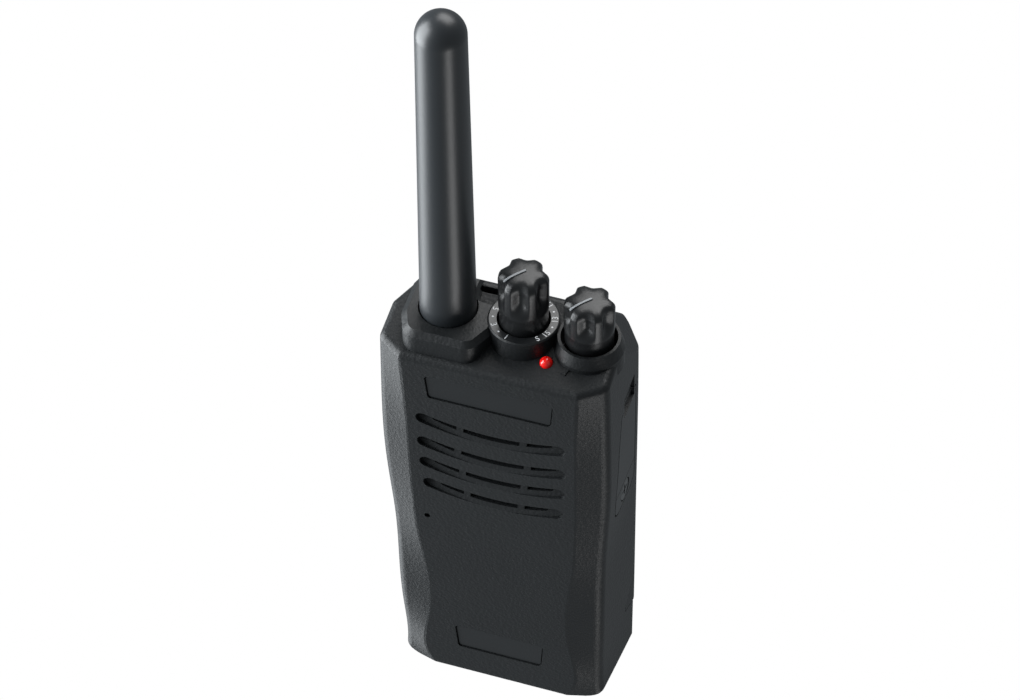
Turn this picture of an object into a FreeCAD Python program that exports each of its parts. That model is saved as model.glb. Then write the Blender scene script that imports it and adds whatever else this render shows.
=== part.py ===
import FreeCAD, Part
import Sketcher
import math
import os
import re

os.makedirs("parts", exist_ok=True)
V = FreeCAD.Vector
doc = FreeCAD.newDocument("portable_radio")

# ---------------------------------------------------------------- driving dimensions
# X is the user's right as they look at the grille, Y runs to the back, Z is up.
# The origin is on the surface that the radio stands on, under the middle of the case.
SIZES = [
    ("body_width", 54.8, "case at its widest, across the grille"),
    ("body_height", 121.0, "foot to the rear edge of the top deck"),
    ("front_foot_y", -10.3, "front panel at the foot"),
    ("front_lean", 0.05, "front panel's lean, per mm of height"),
    ("back_crown_y", 16.9, "furthest point of the bowed back"),
    ("back_bow", 1.5, "bow of the back across its width"),
    ("seam_y", 11.4, "rear edge of the flanks, where the battery pack meets them"),
    ("wall", 1.8, "moulded wall of the case"),
    ("deck_drop", 5.9, "fall of the deck from its rear edge to the front panel"),
    ("deck_rear_y", 6.3, "rear edge of the deck"),
    ("rear_slope_drop", 8.8, "height of the slope behind the deck"),
    ("rear_slope_depth", 7.8, "depth of the slope behind the deck"),
    ("top_round", 1.8, "rounding of the deck's edges and of the slopes behind it"),
    ("foot_corner", 7.0, "rounded lower corners of the case"),
    ("foot_clear", 0.2, "lower corners' arc starts outside the widest part"),
    ("foot_round", 1.2, "rounding of the foot's lower edge"),
    ("pack_top", 88.0, "top of the battery pack"),
    ("pack_bottom", 16.6, "bottom of the battery pack at the back"),
    ("pack_gap", 0.2, "gap all round the battery pack"),
    ("pack_shell", 1.3, "wall of the battery pack"),
    ("pack_tub_width", 46.8, "width of the pack's inner tub"),
    ("toe_rise", 1.1, "slope of the pack's lower face"),
    ("toe_height", 10.7, "height of the pack's slanted toe"),
    ("toe_y", 5.8, "front of the pack's slanted toe"),
    ("foot_back_y", 10.5, "rear face of the foot below the pack"),
    ("chassis_y", 3.0, "front face of the chassis plate"),
    ("chassis_thick", 2.4, "chassis plate"),
    ("fit", 0.1, "clearance between a fixed piece and its seat"),
    ("gap", 0.35, "clearance round a piece that moves in an opening"),
    ("bearing", 0.05, "radial running clearance of a shaft"),
    ("dial_x", 4.2, "channel selector axis, from the middle"),
    ("dial_y", -2.8, "channel selector axis, depth"),
    ("dial_top", 122.0, "top of the dial ring"),
    ("dial_radius", 8.15, "outer radius of the dial collar"),
    ("dial_bore", 6.1, "well inside the dial collar"),
    ("ring_thick", 0.5, "printed dial ring"),
    ("volume_inset", 8.0, "volume axis from the widest side of the case"),
    ("volume_y", -2.5, "volume axis, depth"),
    ("cup_top", 120.9, "top of the volume cup"),
    ("cup_radius", 7.1, "outer radius of the volume cup's rim"),
    ("cup_flare", 0.9, "widening of the volume cup below its rim"),
    ("cup_slope", 3.0, "height of the volume cup's sloping wall"),
    ("collar_edge", 0.3, "bevel round the top of the dial collar"),
    ("cup_bore", 6.45, "inside of the volume cup"),
    ("well_floor", 5.6, "depth of the nut wells under the deck's rear edge"),
    ("floor_thick", 2.0, "floor of the nut wells"),
    ("bushing_radius", 3.5, "threaded bushing of a rotary control"),
    ("bushing_length", 6.0, "threaded bushing of a rotary control"),
    ("nut_flats", 8.8, "bushing nut across its flats"),
    ("nut_thick", 1.8, "bushing nut"),
    ("shaft_radius", 2.4, "control shaft"),
    ("control_size", 10.4, "square body of a rotary control"),
    ("control_deep", 7.4, "height of a rotary control's body"),
    ("knob_radius", 5.75, "ribbed control knob"),
    ("channel_knob_top", 137.0, "top of the channel knob"),
    ("volume_knob_top", 132.6, "top of the volume knob"),
    ("channel_knob_foot", 118.4, "lower edge of the channel knob"),
    ("volume_knob_foot", 117.6, "lower edge of the volume knob"),
    ("antenna_inset", 14.3, "antenna axis from the widest side of the case"),
    ("antenna_y", -4.2, "antenna axis, depth"),
    ("boss_top", 121.6, "level top of the antenna boss"),
    ("boss_bevel", 1.3, "bevel round the top of the antenna boss"),
    ("antenna_tip", 210.1, "top of the antenna"),
    ("sheath_foot_radius", 6.45, "antenna sheath at its foot"),
    ("sheath_tip_radius", 5.65, "antenna sheath under its domed tip"),
    ("antenna_seat", 117.4, "floor of the hole in the antenna boss"),
    ("antenna_bore", 2.6, "bore of the antenna sheath"),
    ("ferrule_radius", 3.1, "threaded antenna stud"),
    ("led_x", 11.6, "indicator light, from the middle"),
    ("led_y", -9.5, "indicator light, depth"),
    ("led_radius", 1.5, "indicator light"),
    ("led_top", 118.2, "top of the indicator's dome"),
    ("louvre_drop", 28.8, "top louvre's centre under the deck's rear edge"),
    ("louvre_bend", 58.0, "radius of the louvres' smile"),
    ("louvre_high", 3.4, "height of a louvre's groove"),
    ("louvre_deep", 1.3, "depth of a louvre's groove"),
    ("slot_rim", 0.55, "edge of a louvre above its opening"),
    ("slot_high", 1.6, "opening at the top of a louvre"),
    ("plate_drop", 14.8, "name plate's centre under the deck's rear edge"),
    ("plate_width", 30.4, "name plate"),
    ("plate_high", 7.4, "name plate"),
    ("badge_level", 13.8, "lower badge's centre above the foot"),
    ("badge_width", 22.2, "lower badge"),
    ("badge_high", 8.1, "lower badge"),
    ("recess_deep", 0.8, "depth of both plate recesses"),
    ("speaker_drop", 40.3, "speaker axis under the deck's rear edge"),
    ("speaker_radius", 17.5, "speaker frame"),
    ("speaker_deep", 5.0, "speaker frame"),
    ("speaker_front_y", -10.9, "front of the speaker frame"),
    ("mic_x", -16.4, "microphone hole, from the middle"),
    ("mic_level", 58.6, "microphone hole above the foot"),
    ("mic_radius", 0.75, "microphone hole"),
    ("ptt_level", 76.0, "middle of the talk key"),
    ("ptt_high", 27.0, "talk key"),
    ("key_wide", 8.2, "all three side keys, front to back"),
    ("key_y", -1.9, "middle of the side keys, depth"),
    ("key_proud", 0.4, "keys stand proud of the flank"),
    ("upper_key_level", 52.0, "middle of the upper side key"),
    ("lower_key_level", 41.5, "middle of the lower side key"),
    ("key_high", 7.4, "side keys"),
    ("jack_y", 2.4, "accessory jacks, depth"),
    ("jack_level", 85.4, "upper jack above the foot"),
    ("jack_pitch", 11.4, "distance between the two jacks"),
    ("big_jack_radius", 1.78, "bore of the 3.5 mm jack"),
    ("small_jack_radius", 1.28, "bore of the 2.5 mm jack"),
    ("cover_level", 66.4, "jack cover's screw above the foot"),
    ("cover_y", 2.2, "jack cover's screw, depth"),
    ("cover_foot", 62.6, "lower end of the jack cover"),
    ("cover_split", 70.6, "fold line of the jack cover"),
    ("cover_top", 96.0, "top of the jack cover"),
    ("board_wide", 35.0, "main board"),
    ("board_y", -3.6, "front face of the main board"),
    ("board_thick", 1.0, "main board"),
    ("board_top", 101.0, "main board"),
    ("board_foot", 14.0, "main board"),
    ("screw_x", 18.0, "case screws from the middle"),
    ("screw_level", 9.0, "case screws above the foot"),
    ("screw_radius", 1.0, "case screws"),
    ("board_screw_x", 15.2, "board screws from the middle"),
    ("board_screw_low", 19.0, "lower board screws above the foot"),
    ("board_screw_high", 58.0, "upper board screws above the foot"),
    ("clip_pitch", 25.0, "belt-clip holes, side to side"),
    ("clip_level", 98.0, "belt-clip holes above the foot"),
    ("clip_bore", 1.25, "M3 tapped hole, core radius"),
    ("clip_depth", 5.0, "M3 tapped hole"),
    ("pad_wide", 38.0, "chassis panel that shows at the upper back"),
    ("pad_high", 14.0, "chassis panel that shows at the upper back"),
    ("pad_y", 14.0, "face of the chassis panel"),
    ("shelf", 2.2, "case shelf over the pack"),
    ("cloth", 0.3, "dust cloth behind the louvres"),
    ("latch_wide", 14.0, "battery release latch"),
    ("latch_y", 8.9, "middle of the latch, depth"),
    ("latch_low", 9.0, "lower edge of the latch"),
    ("thumb_step", 2.1, "thumb pad behind the latch"),
    ("catch_level", 2.3, "axis of the safety catch"),
    ("catch_top", 8.7, "upper edge of the safety catch"),
    ("hook_x", 12.0, "hooks at the top of the pack, from the middle"),
    ("hook_y", 8.0, "front of the hooks"),
    ("terminal_level", 25.0, "battery terminals above the foot"),
    ("terminal_pitch", 6.0, "battery terminals, side to side"),
    ("terminal_half", 4.5, "terminal block, half its height"),
    ("tick_x", 15.5, "raised tick on the deck, from the middle"),
    ("tick_y", -11.3, "raised tick on the deck, depth"),
    ("jack_inner", 12.8, "inner end of the jack block, from the middle"),
]

sheet = doc.addObject("Spreadsheet::Sheet", "Sizes")
for line, (alias, value, note) in enumerate(SIZES, start=1):
    sheet.set(f"A{line}", note)
    sheet.set(f"B{line}", str(value))
    sheet.setAlias(f"B{line}", alias)
doc.recompute()


def size(text):
    """Value of a size, or of a sum of sizes, in plain size names."""
    return float(sheet.evalExpression(str(text)))


def formula(text):
    """The same sum written as an expression that another object can hold."""
    return re.sub(r"[A-Za-z_]+", lambda word: NAMES.get(word.group(), word.group()), str(text))


NAMES = {alias: f"Sizes.{alias}" for alias, value, note in SIZES}
ALONG = {
    "Z": FreeCAD.Rotation(),
    "X": FreeCAD.Rotation(V(0, 1, 0), 90),
    "Y": FreeCAD.Rotation(V(1, 0, 0), -90),
}
nodes = []


# ---------------------------------------------------------------- small builders
def bind(piece, **sums):
    for name, text in sums.items():
        piece.setExpression(name, formula(text))
    return piece


def place(piece, x, y, z, turn=FreeCAD.Rotation()):
    piece.Placement = FreeCAD.Placement(V(0, 0, 0), turn)
    for axis, text in (("x", x), ("y", y), ("z", z)):
        piece.setExpression(f"Placement.Base.{axis}", formula(text))
    return piece


def box(x, y, z, length, width, height, name="block"):
    """A block from its lowest corner and its three sizes."""
    piece = doc.addObject("Part::Box", name)
    bind(piece, Length=length, Width=width, Height=height)
    return place(piece, x, y, z)


def block(x, y, low, length, width, high, name="block"):
    """A block centred on X and Y, from its lower to its upper level."""
    return box(f"{x} - ({length})/2", f"{y} - ({width})/2", low, length, width, f"({high}) - ({low})", name)


def rod(x, y, z, radius, length, along="Z", name="rod"):
    piece = doc.addObject("Part::Cylinder", name)
    bind(piece, Radius=radius, Height=length)
    return place(piece, x, y, z, ALONG[along])


def cone(x, y, z, foot, top, length, along="Z", name="cone"):
    piece = doc.addObject("Part::Cone", name)
    bind(piece, Radius1=foot, Radius2=top, Height=length)
    return place(piece, x, y, z, ALONG[along])


def ball(x, y, z, radius, name="ball"):
    piece = doc.addObject("Part::Sphere", name)
    bind(piece, Radius=radius)
    return place(piece, x, y, z)


def hexagon(x, y, z, flats, thick, name="nut"):
    piece = doc.addObject("Part::Prism", name)
    piece.Polygon = 6
    bind(piece, Circumradius=f"({flats}) / 1.7320508", Height=thick)
    return place(piece, x, y, z)


def solid(shape, name="form"):
    piece = doc.addObject("Part::Feature", name)
    piece.Shape = shape
    return piece


def fuse(*pieces, name="joined"):
    piece = doc.addObject("Part::MultiFuse", name)
    piece.Shapes = list(pieces)
    return piece


def cut(base, *tools, name="cut_piece"):
    piece = doc.addObject("Part::Cut", name)
    piece.Base = base
    piece.Tool = tools[0] if len(tools) == 1 else fuse(*tools)
    return piece


def common(first, second, name="overlap"):
    piece = doc.addObject("Part::Common", name)
    piece.Base = first
    piece.Tool = second
    return piece


def group(*pieces, name="set"):
    """Separate solids of one node, such as a set of like screws."""
    piece = doc.addObject("Part::Compound", name)
    piece.Links = list(pieces)
    return piece


def node(name, piece):
    """Give a finished sub-part the name of its file."""
    piece.Label = name
    nodes.append(piece)
    return piece


def tube(x, y, z, radius, bore, length, along="Z"):
    return cut(rod(x, y, z, radius, length, along), rod(x, y, z, bore, length, along))


# ---------------------------------------------------------------- outer form of the case
# Stations up the case: share of its height, half width lost at the front of the flank, front
# crease in from the flank, fall of the bevel behind the front panel, and half width lost at
# the back of the flank.
STATIONS = [
    (0.00, 2.3, 9.1, 2.0, 0.6),
    (0.21, 2.1, 8.4, 1.5, 0.5),
    (0.33, 1.9, 7.9, 1.9, 0.5),
    (0.41, 1.7, 6.8, 2.4, 0.5),
    (0.50, 1.1, 6.7, 2.5, 0.5),
    (0.62, 0.2, 7.2, 2.4, 0.5),
    (0.74, 0.0, 7.3, 2.5, 0.5),
    (0.86, 0.2, 6.7, 3.2, 0.6),
    (1.04, 1.2, 6.2, 3.2, 1.4),
]
CREASE_ROUND = 1.6
FLANK_ROUND = 2.6
BACK_ROUND = 3.0
BOW_ROUND = 60.0
BACK_BEVEL = V(4.0, 3.5, 0)


def rounded_outline(corners, level):
    """Closed outline at one level, with each (x, y, radius) corner drawn as an arc."""
    edges = []
    ends = []
    count = len(corners)
    for turn in range(count):
        x, y, radius = corners[turn]
        here = V(x, y, level)
        before = V(*corners[turn - 1][:2], level) - here
        after = V(*corners[(turn + 1) % count][:2], level) - here
        before.normalize()
        after.normalize()
        half = before.getAngle(after) / 2
        back = radius / math.tan(half)
        middle = (before + after).normalize() * (radius / math.sin(half) - radius)
        ends.append((here + before * back, here + middle, here + after * back))
    for turn in range(count):
        start, middle, stop = ends[turn]
        edges.append(Part.Arc(start, middle, stop).toShape())
        edges.append(Part.makeLine(stop, ends[(turn + 1) % count][0]))
    return Part.Wire(edges)


def case_outline(station, inset):
    """Section of the case at one station, drawn inside the outer surface by inset."""
    share, narrow, crease, bevel, rear_narrow = station
    level = size("body_height") * share
    half = size("body_width") / 2 - narrow
    front = size("front_foot_y") - size("front_lean") * level
    back = size("back_crown_y") - size("back_bow")
    flank = half - inset
    rear = size("body_width") / 2 - rear_narrow - inset
    fold = half - crease - inset * 0.2
    side = front + bevel + inset * 0.7
    corners = [
        (-fold, front + inset, CREASE_ROUND),
        (fold, front + inset, CREASE_ROUND),
        (flank, side, FLANK_ROUND),
        (rear, back - BACK_BEVEL.y, FLANK_ROUND),
        (rear - BACK_BEVEL.x, back - inset, BACK_ROUND),
        (0.0, back + size("back_bow") - inset, BOW_ROUND),
        (BACK_BEVEL.x - rear, back - inset, BACK_ROUND),
        (-rear, back - BACK_BEVEL.y, FLANK_ROUND),
        (-flank, side, FLANK_ROUND),
    ]
    return rounded_outline(corners, level)


def column(inset):
    """The case's outer form with its top still open-ended."""
    sections = [case_outline(station, inset) for station in STATIONS]
    return Part.makeLoft(sections, True, False)


def half_space(origin, normal):
    """A large block that fills the side of a plane that its normal points to."""
    reach = 4 * (size("body_height") + size("body_width"))
    slab = Part.makeBox(reach, reach, reach, V(-reach / 2, -reach / 2, 0))
    slab.Placement = FreeCAD.Placement(origin, FreeCAD.Rotation(V(0, 0, 1), normal))
    return slab


DECK_FRONT_Y = size("front_foot_y - front_lean * body_height")
DECK_SLOPE = size("deck_drop") / (size("deck_rear_y") - DECK_FRONT_Y)
DECK_TILT = FreeCAD.Rotation(V(1, 0, 0), math.degrees(math.atan(DECK_SLOPE)))
REAR_EDGE = V(0, size("deck_rear_y"), size("body_height"))
SLOPE_NORMAL = V(0, size("rear_slope_drop"), size("rear_slope_depth")).normalize()
DECK_NORMAL = DECK_TILT.multVec(V(0, 0, 1))
# The rear corners of the deck are cut off by planes: a point of the left one on the deck's
# rear edge, and the way that plane faces.
CORNER_INSET = 6.9
CORNER_POINT = V(CORNER_INSET - size("body_width") / 2, size("deck_rear_y"), size("body_height"))
CORNER_NORMAL = V(-0.82, 0.36, 0.45)


def rear_slopes(form, sink):
    """Cut the slope behind the deck and its two corner planes, all lowered by sink."""
    form = form.cut(half_space(REAR_EDGE - SLOPE_NORMAL * sink, SLOPE_NORMAL))
    for side in (1, -1):
        point = V(CORNER_POINT.x * side, CORNER_POINT.y, CORNER_POINT.z)
        normal = V(CORNER_NORMAL.x * side, CORNER_NORMAL.y, CORNER_NORMAL.z)
        form = form.cut(half_space(point - normal * sink, normal))
    return form


def case_form(inset, sink):
    """Column under the sloping deck and the slopes behind it, all lowered by sink."""
    form = column(inset).cut(half_space(REAR_EDGE - V(0, 0, sink), DECK_NORMAL))
    return rear_slopes(form, sink)


def foot_form():
    """Everything above the foot, whose two lower corners are rounded off."""
    half = size("body_width") / 2 + size("foot_clear")
    corner = size("foot_corner")
    reach = 3 * size("body_height")
    lean = corner * (1 - math.sqrt(0.5))
    points = [
        V(-half, 0, reach),
        V(-half, 0, corner),
        V(corner - half, 0, 0),
        V(half - corner, 0, 0),
        V(half, 0, corner),
        V(half, 0, reach),
    ]
    edges = [
        Part.makeLine(points[0], points[1]),
        Part.Arc(points[1], V(lean - half, 0, lean), points[2]).toShape(),
        Part.makeLine(points[2], points[3]),
        Part.Arc(points[3], V(half - lean, 0, lean), points[4]).toShape(),
        Part.makeLine(points[4], points[5]),
        Part.makeLine(points[5], points[0]),
    ]
    foot = Part.Face(Part.Wire(edges)).extrude(V(0, 2 * reach, 0))
    foot.translate(V(0, -reach, 0))
    return foot


SHARP = 12  # degrees: edges that turn less than this stay as they are


def sharp_edges(shape, least, wanted):
    """Edges whose two faces meet at more than an angle, at a middle point that is wanted."""
    chosen = []
    for edge in shape.Edges:
        faces = shape.ancestorsOfType(edge, Part.Face)
        middle = edge.valueAt((edge.FirstParameter + edge.LastParameter) / 2)
        if len(faces) == 2 and wanted(middle):
            normals = [face.normalAt(*face.Surface.parameter(middle)) for face in faces]
            if math.degrees(normals[0].getAngle(normals[1])) > least:
                chosen.append(edge)
    return chosen


def outer_form():
    """The whole outer form, case and battery pack together, with its edges rounded."""
    form = case_form(0, 0).common(foot_form())
    low = size("body_height - 2 * rear_slope_drop - deck_drop")
    top = sharp_edges(form, SHARP, lambda point: point.z > low)
    form = form.makeFillet(size("top_round"), top)
    foot = sharp_edges(form, SHARP, lambda point: point.z < size("foot_corner") - 1)
    return form.makeFillet(size("foot_round"), foot)


def side_prism(corners, low, high):
    """Block between two X values with an outline of (y, z) corners."""
    points = [V(low, y, z) for y, z in corners]
    return Part.Face(Part.makePolygon(points + points[:1])).extrude(V(high - low, 0, 0))


def pack_zone(grow):
    """Room of the battery pack behind the flanks, seen from the side, grown by a gap."""
    seam = size("seam_y") - grow
    toe = size("toe_y") - grow
    top = size("pack_top") + grow
    foot = size("pack_bottom") - grow
    far = size("back_crown_y") * 2
    corners = [
        (seam, top),
        (far, top),
        (far, foot),
        (size("foot_back_y"), foot),
        (toe, foot + size("toe_rise")),
        (toe, foot + size("toe_rise") + 1.5),
        (seam, foot + size("toe_height")),
    ]
    return side_prism(corners, -size("body_width"), size("body_width"))


# ---------------------------------------------------------------- shared places
FAR = "2 * body_height"
CHASSIS_BACK = "(chassis_y + chassis_thick)"
VOLUME_X = "(body_width/2 - volume_inset)"
ANTENNA_X = "(antenna_inset - body_width/2)"
WELL = "(body_height - well_floor)"
UNDER_WELL = "(body_height - well_floor - floor_thick)"
SPEAKER_Z = "(body_height - speaker_drop)"
BOARD_BACK = "(board_y + board_thick)"
# Louvres from the top down: fall below the first one, half width of the middle slot, outer end
# of the side slots and half width of the whole groove.
LOUVRES = [
    (0.0, 6.7, 13.65, 17.8),
    (8.35, 7.5, 14.5, 17.8),
    (15.6, 6.6, 13.75, 17.5),
    (23.0, 5.7, 12.3, 16.9),
]
SLOT_BAR = 1.65
# Outline of the antenna boss seen from above, before its bevel: how far it reaches to the left
# and right of the antenna, then its front and rear edges.
BOSS_LEFT = 8.4
BOSS_RIGHT = 10.4
BOSS_FRONT = -13.4
BOSS_BACK = 9.5


def louvre_arc(drop, half, thick, depth, lift=0.0):
    """One smile-shaped bar across the panel, with round ends, sunk by depth."""
    low = size("body_height - louvre_drop") - drop + lift
    bend = size("louvre_bend") - lift
    swing = math.asin(half / bend)
    middle = V(0, 0, low + bend)
    outer, inner = bend + thick / 2, bend - thick / 2

    def point(radius, angle):
        return middle + V(radius * math.sin(angle), 0, -radius * math.cos(angle))

    cap = thick / 2 / bend
    edges = [
        Part.Arc(point(outer, -swing), point(outer, 0), point(outer, swing)).toShape(),
        Part.Arc(point(outer, swing), point(bend, swing + cap), point(inner, swing)).toShape(),
        Part.Arc(point(inner, swing), point(inner, 0), point(inner, -swing)).toShape(),
        Part.Arc(point(inner, -swing), point(bend, -swing - cap), point(outer, -swing)).toShape(),
    ]
    face = Part.Face(Part.Wire(edges))
    face.translate(V(0, size("front_foot_y") - size("front_lean") * low - 5, 0))
    return face.extrude(V(0, 5 + depth, 0))


def grille_cutters():
    """Grooves of the four louvres and the three slots in the upper edge of each."""
    cutters = []
    for drop, centre, outside, groove in LOUVRES:
        high = size("louvre_high")
        slot = size("slot_high")
        lift = (high - slot) / 2 - size("slot_rim")
        middle = size("body_height - louvre_drop") - drop
        face_y = size("front_foot_y") - size("front_lean") * middle
        ramp = V(0, high, -size("louvre_deep")).normalize()
        channel = louvre_arc(drop, groove - high / 2, high, size("louvre_deep"))
        cutters.append(channel.cut(half_space(V(0, face_y + 0.05, middle - high / 2), ramp)))
        through = louvre_arc(drop, outside, slot, size("wall") + 2, lift)
        for side in (-1, 1):
            left = side * (centre + SLOT_BAR / 2) - SLOT_BAR / 2
            through = through.cut(Part.makeBox(SLOT_BAR, 60, 60, V(left, -40, middle - 30)))
        cutters.append(through)
    return cutters


# ---------------------------------------------------------------- front case
def rounded_prism(corners, level, reach):
    """Upright block over a rounded outline of (x, y, radius) corners."""
    return Part.Face(rounded_outline(corners, level)).extrude(V(0, 0, reach))


def boss_block():
    """Level platform that carries the antenna, with a bevel round its top."""
    bevel = size("boss_bevel")
    left = size("antenna_inset - body_width/2") - BOSS_LEFT - bevel
    right = size("antenna_inset - body_width/2") + BOSS_RIGHT + bevel
    front = BOSS_FRONT - bevel
    corners = [
        (left, front + 6.3, 5.0),
        (left + 2.6, front, 4.0),
        (right - 3.0, front + 0.2, 3.6),
        (right, front + 6.7, 3.0),
        (right, 0.4, 1.5),
        (right - 6.2, 0.6, 1.5),
        (right - 6.4, BOSS_BACK, 1.5),
        (left - 0.6, BOSS_BACK, 1.5),
    ]
    low = size("body_height - well_floor - floor_thick")
    block = rounded_prism(corners, low, size("boss_top") - low)
    rim = [edge for edge in block.Edges if edge.BoundBox.ZMin > size("boss_top") - 0.01]
    return rear_slopes(block.makeChamfer(bevel, rim), 0)


def plate_outline(level, wide_top, wide_foot, high):
    """Outline of a plate recess on the leaning panel, as (x, z) corners."""
    return [
        (-wide_foot / 2, level - high / 2),
        (wide_foot / 2, level - high / 2),
        (wide_top / 2, level + high / 2),
        (-wide_top / 2, level + high / 2),
    ]


def panel_plate(level, wide, high, depth, inner=0.0):
    """Slab on the leaning front panel: depth is measured in from the panel's face."""
    top, foot = wide, wide - 1.2
    corners = []
    for x, z in plate_outline(level, top - 2 * inner, foot - 2 * inner, high - 2 * inner):
        corners.append((x, -z, 0.9 if inner == 0 else 0.8))
    face = Part.Face(rounded_outline(corners[::-1], 0))
    face.rotate(V(0, 0, 0), V(1, 0, 0), -90)
    slab = face.extrude(V(0, 30, 0))
    slab.translate(V(0, -30, 0))
    lean = math.degrees(math.atan(size("front_lean")))
    foot_point = V(0, size("front_foot_y"), 0)
    slab.translate(V(0, size("front_foot_y") + depth, 0))
    slab.rotate(foot_point, V(1, 0, 0), lean)
    return slab


def cover_outline():
    """Outline of the jack cover on the right flank, as (y, z, radius) corners."""
    top = size("cover_top")
    foot = size("cover_foot")
    back = size("cover_y") + 7.0
    return [
        (size("cover_y") - 4.6, top, 1.0),
        (size("cover_y") - 6.4, top - 8.6, 12.0),
        (size("cover_y") - 7.7, foot + 9.6, 12.0),
        (size("cover_y") - 7.4, foot, 3.6),
        (back, foot, 4.2),
        (back, top, 1.0),
    ]


def cover_prism(shrink):
    """Jack cover's outline as a block through the right flank."""
    face = Part.Face(rounded_outline([(-z, y, r) for y, z, r in cover_outline()], 0))
    if shrink:
        face = Part.Face(face.OuterWire.makeOffset2D(-shrink))
    block = face.extrude(V(0, 0, 40))
    block.Placement = FreeCAD.Placement(V(0, 0, 0), ALONG["X"])
    return block


COVER_X = "(body_width/2 - 2.0)"
CATCH_Y = "(foot_back_y + 1.3)"
PAD_X = "(body_width/2 - 3.5)"
JACK_LOW = "(jack_level - jack_pitch - 6)"
JACK_FRONT = "(jack_y - 4.4)"
outside = solid(outer_form(), "outside")
case_room = solid(case_form(size("wall"), size("wall") + 0.4), "room")
tall_form = solid(column(0), "tall")
inner_form = solid(column(size("wall")), "inner")

electronics_room = common(case_room, box(
    "-body_width", "-body_width", "wall",
    "2*body_width", f"body_width + {CHASSIS_BACK}", "body_height",
))
upper_room = common(case_room, box(
    "-body_width", CHASSIS_BACK, "pack_top + shelf",
    "2*body_width", "back_crown_y", "body_height",
))
pack_recess = box(
    "-pack_tub_width/2 - gap", CHASSIS_BACK, "pack_bottom + toe_rise - gap",
    "pack_tub_width + 2*gap", "2*back_crown_y", "pack_top + pack_gap - (pack_bottom + toe_rise - gap)",
)
foot_back = box("-body_width", "foot_back_y", "-1", "2*body_width", "body_width", "pack_bottom + 1")
shell = cut(outside, electronics_room, upper_room, pack_recess, solid(pack_zone(size("pack_gap"))), foot_back)

KEYS = [
    ("ptt_button", "ptt_level", "ptt_high", "(body_width/2 - wall - 1.1)"),
    ("side_key_upper", "upper_key_level", "key_high", "(body_width/2 - wall - 2.3)"),
    ("side_key_lower", "lower_key_level", "key_high", "(body_width/2 - wall - 2.3)"),
]
added = [
    rod("dial_x", "dial_y", UNDER_WELL, "dial_radius", f"dial_top - collar_edge - {UNDER_WELL}"),
    cone(
        "dial_x", "dial_y", "dial_top - collar_edge",
        "dial_radius", "dial_radius - collar_edge", "collar_edge",
    ),
    rod(VOLUME_X, "volume_y", UNDER_WELL, "cup_radius + cup_flare", f"cup_top - cup_slope - {UNDER_WELL}"),
    cone(VOLUME_X, "volume_y", "cup_top - cup_slope", "cup_radius + cup_flare", "cup_radius", "cup_slope"),
    solid(boss_block()),
    common(outside, box("-9.5", "2.6", UNDER_WELL, "9", "20", "20")),
    common(tall_form, box(
        PAD_X, "cover_y - 9", "cover_foot - 2",
        "10", "seam_y - 2*pack_gap - cover_y + 9", "cover_top - cover_foot + 7",
    )),
    rod("screw_x", "front_foot_y + 0.9", "screw_level", "2.4", "chassis_y - front_foot_y - 0.9", "Y"),
    rod("-screw_x", "front_foot_y + 0.9", "screw_level", "2.4", "chassis_y - front_foot_y - 0.9", "Y"),
    box("latch_wide/2 + gap", "foot_back_y - 1", "0.8", "1.8", "3.6", "2.8"),
    box("-latch_wide/2 - gap - 1.8", "foot_back_y - 1", "0.8", "1.8", "3.6", "2.8"),
    common(solid(case_form(0, -0.35)), place(
        box("0", "0", "0", "1.2", "2.9", "20"),
        "tick_x", "tick_y", "body_height - 12", FreeCAD.Rotation(V(0, 0, 1), -20),
    )),
]
deck_holes = [
    rod("dial_x", "dial_y", WELL, "dial_bore", FAR),
    rod("dial_x", "dial_y", "body_height/2", "bushing_radius + fit", FAR),
    cut(
        rod("dial_x", "dial_y", "dial_top - ring_thick", "dial_radius - 0.35", "2"),
        rod("dial_x", "dial_y", "dial_top - ring_thick", "dial_bore", "2"),
    ),
    rod(VOLUME_X, "volume_y", WELL, "cup_bore", FAR),
    block(
        VOLUME_X, "volume_y", f"{UNDER_WELL} - control_deep - fit",
        "control_size + 2*fit", "control_size + 2*fit", UNDER_WELL,
    ),
    rod(VOLUME_X, "volume_y", "body_height/2", "bushing_radius + fit", FAR),
    rod(ANTENNA_X, "antenna_y", "antenna_seat", "sheath_foot_radius + gap", FAR),
    rod(ANTENNA_X, "antenna_y", "body_height/2", "ferrule_radius + fit", FAR),
    rod("led_x", "led_y", "body_height/2", "led_radius + fit", FAR),
    box("-8.3", "3.5", "body_height - 6", "6.6", "1.5", "10"),
    box("-8.3", "3.5", "body_height - 6", "6.6", "20", "1.6"),
]
PLATE_LEVEL = size("body_height - plate_drop")
RECESS = size("recess_deep")
panel_holes = [
    rod("mic_x", "-30", "mic_level", "mic_radius", "25", "Y"),
    solid(panel_plate(PLATE_LEVEL, size("plate_width"), size("plate_high"), RECESS)),
    solid(panel_plate(size("badge_level"), size("badge_width"), size("badge_high"), RECESS)),
]
flank_holes = [
    common(solid(cover_prism(0)), box(COVER_X, "-30", "0", "20", "60", FAR)),
    box(
        PAD_X + " - 1", f"{JACK_FRONT} - fit", f"{JACK_LOW} - fit",
        "4", f"{CHASSIS_BACK} - {JACK_FRONT} + 2*fit", "jack_pitch + 12 + 2*fit",
    ),
    rod("0", "cover_y", "cover_level", "screw_radius + fit", "40", "X"),
    box(COVER_X + " + 0.8", "cover_y - 2.4", "cover_top - 0.5", "20", "8.0", "4.6"),
]
PAD_LOW = "(clip_level - pad_high/2)"
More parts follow.
